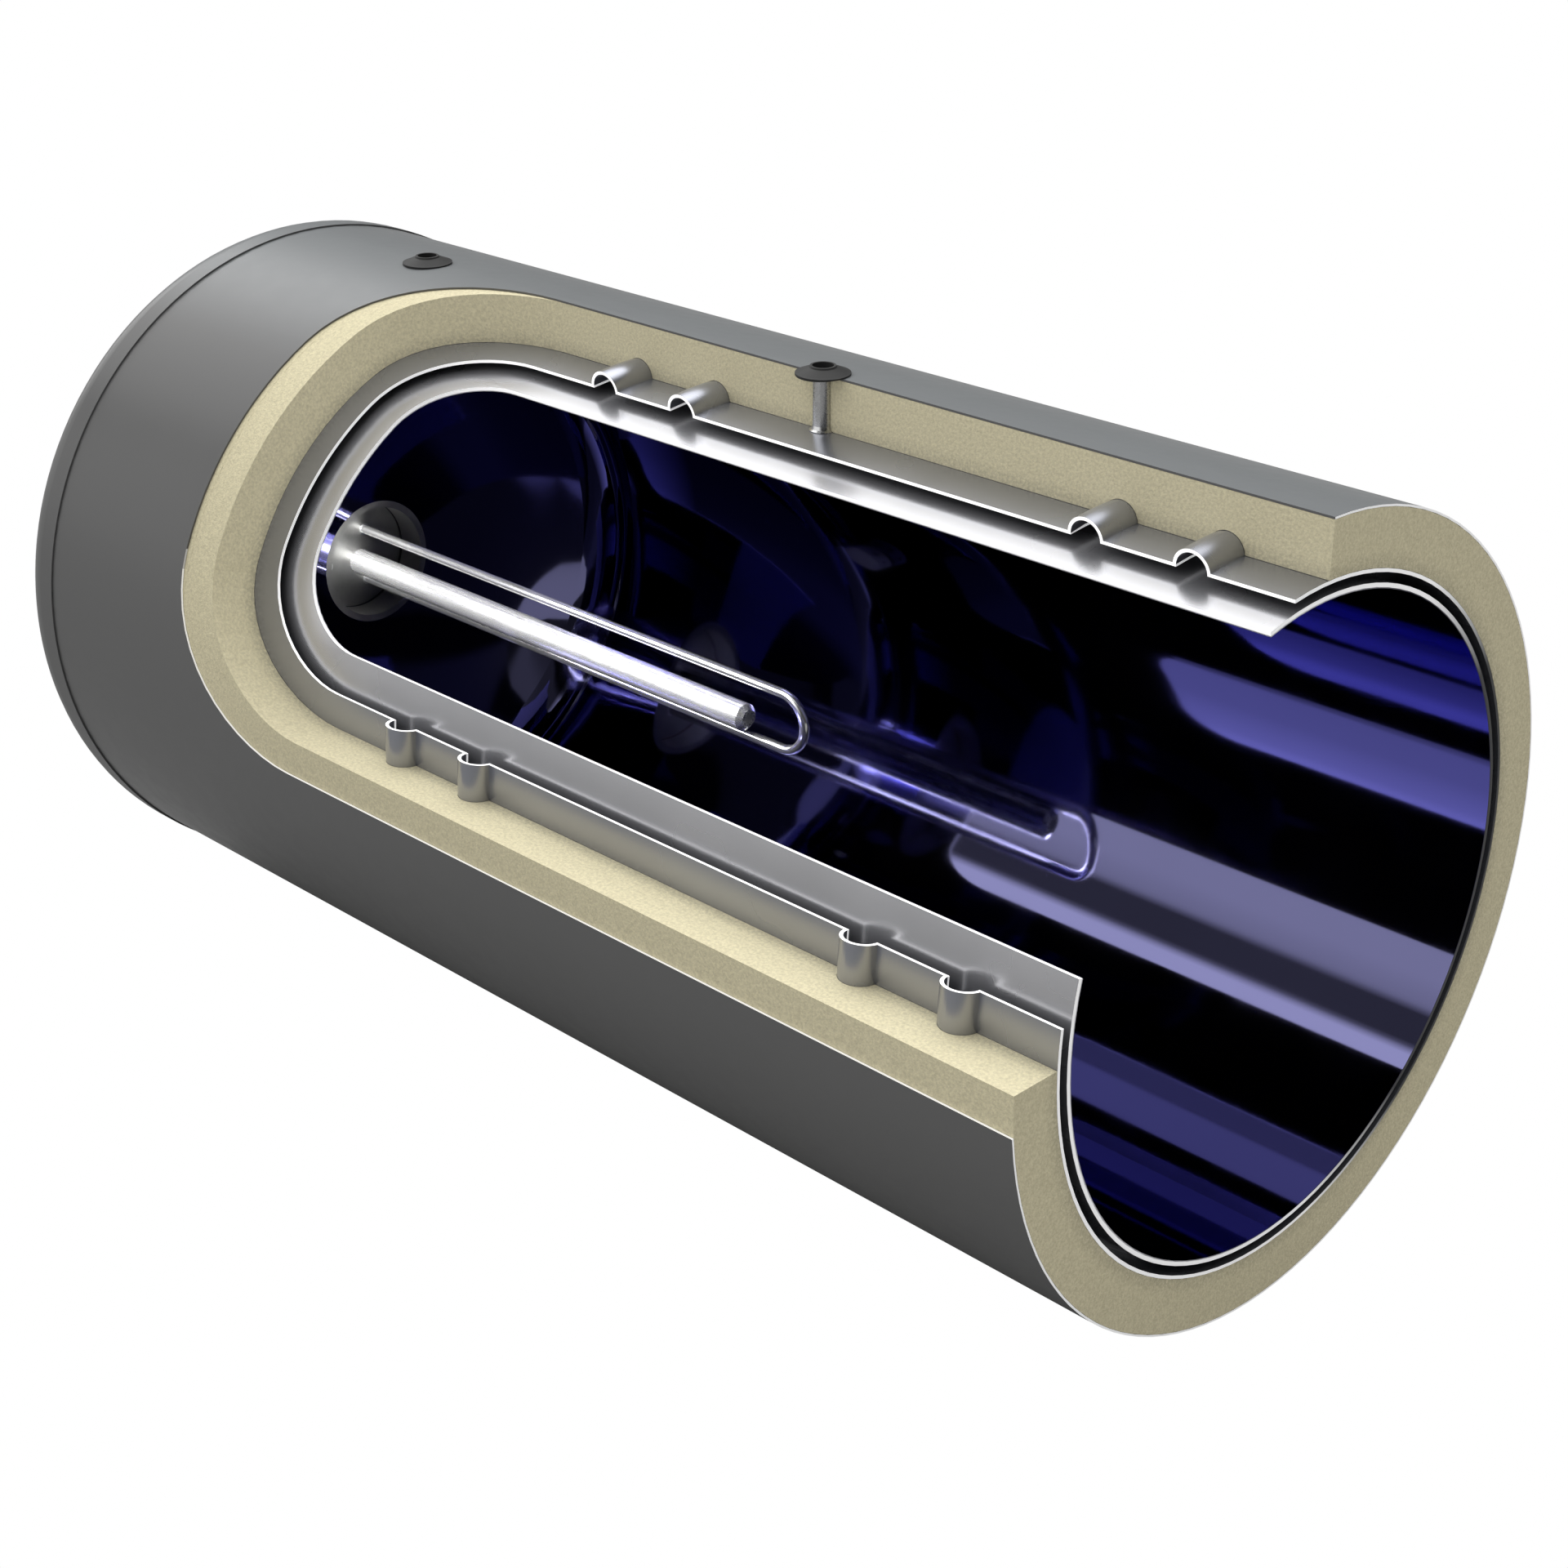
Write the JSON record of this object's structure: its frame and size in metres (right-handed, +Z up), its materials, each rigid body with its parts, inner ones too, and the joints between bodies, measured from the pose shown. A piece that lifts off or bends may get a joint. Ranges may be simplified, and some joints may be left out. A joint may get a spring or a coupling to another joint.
{
  "type": "solar water heater tank",
  "caption": "Horizontal jacketed solar water heater tank, cut away in steps to show casing, foam, ribbed jacket, enamelled tank, heating tube and anode.",
  "frame": {"origin": "midway between the two feet, on the plane of their faces, under the tank's axis", "axes": "+X along the tank from the end cap towards the section plane, -Y the front with the windows, +Z up"},
  "size_m": [1.15, 0.583, 0.6015],
  "materials": {
    "casing_paint": "satin powder coat",
    "foam": "cut rigid polyurethane foam",
    "steel": "smooth rolled",
    "enamel": "glossy glass enamel",
    "collar_plastic": "semi gloss",
    "rubber": "matt",
    "white_plastic": "moulded",
    "black_plastic": "moulded",
    "brass": "turned",
    "zinc": "zinc plated",
    "stainless": "polished stainless tube",
    "magnesium": "smooth extruded magnesium",
    "ceramic": "unglazed",
    "red_plastic": "moulded"
  },
  "bodies": {
    "tank": {"casing_shell": "casing_paint", "end_cap": "casing_paint", "cap_seal": "rubber", "head_foam": "foam", "insulation_foam": "foam", "cap_foam": "foam", "jacket_shell": "steel", "inner_tank": "steel", "tank_head": "steel", "enamel_lining": "enamel", "neck_flange": "steel", "flange_studs": "zinc", "flange_gasket": "rubber", "flange_plate": "steel", "flange_washers": "zinc", "flange_nuts": "zinc", "heating_tube": "stainless", "tube_bushings": "brass", "terminal_insulators": "ceramic", "terminal_pins": "zinc", "terminal_nuts": "brass", "anode_rod": "magnesium", "anode_core": "zinc", "anode_nut": "zinc", "sensor_pocket": "brass", "thermostat_body": "white_plastic", "terminal_block": "white_plastic", "block_screws": "brass", "earth_stud": "brass", "electrical_pan": "white_plastic", "cover_seal": "rubber", "rivet_nuts": "zinc", "cable_gland": "black_plastic", "gland_locknut": "black_plastic", "hot_outlet_pipe": "steel", "hot_outlet_collar": "collar_plastic", "jacket_port_pipe": "steel", "jacket_port_collar": "collar_plastic", "cold_inlet_pipe": "steel", "cold_inlet_collar": "collar_plastic", "inlet_diffuser": "white_plastic", "jacket_return_pipe": "steel", "jacket_return_collar": "collar_plastic", "left_foot": "zinc", "right_foot": "zinc", "foot_collars": "rubber"},
    "knob": {"thermostat_knob": "black_plastic"},
    "button": {"reset_button": "red_plastic"},
    "cover": {"service_cover": "black_plastic", "cover_screws": "zinc"}
  },
  "joints": [
    {"name": "thermostat_turn", "type": "hinge", "parent": "tank", "child": "knob", "pos_m": [-0.56, -0.04, 0.314], "axis": [-1, 0, 0], "range_deg": [-270, 0]},
    {"name": "reset_press", "type": "slide", "parent": "tank", "child": "button", "axis": [1, 0, 0], "range_m": [0, 0.002], "stiffness_N_per_m": 600, "springref_m": -0.001},
    {"name": "cover_lift", "type": "slide", "parent": "tank", "child": "cover", "axis": [-1, 0, 0], "range_m": [0, 0.15]}
  ]
}
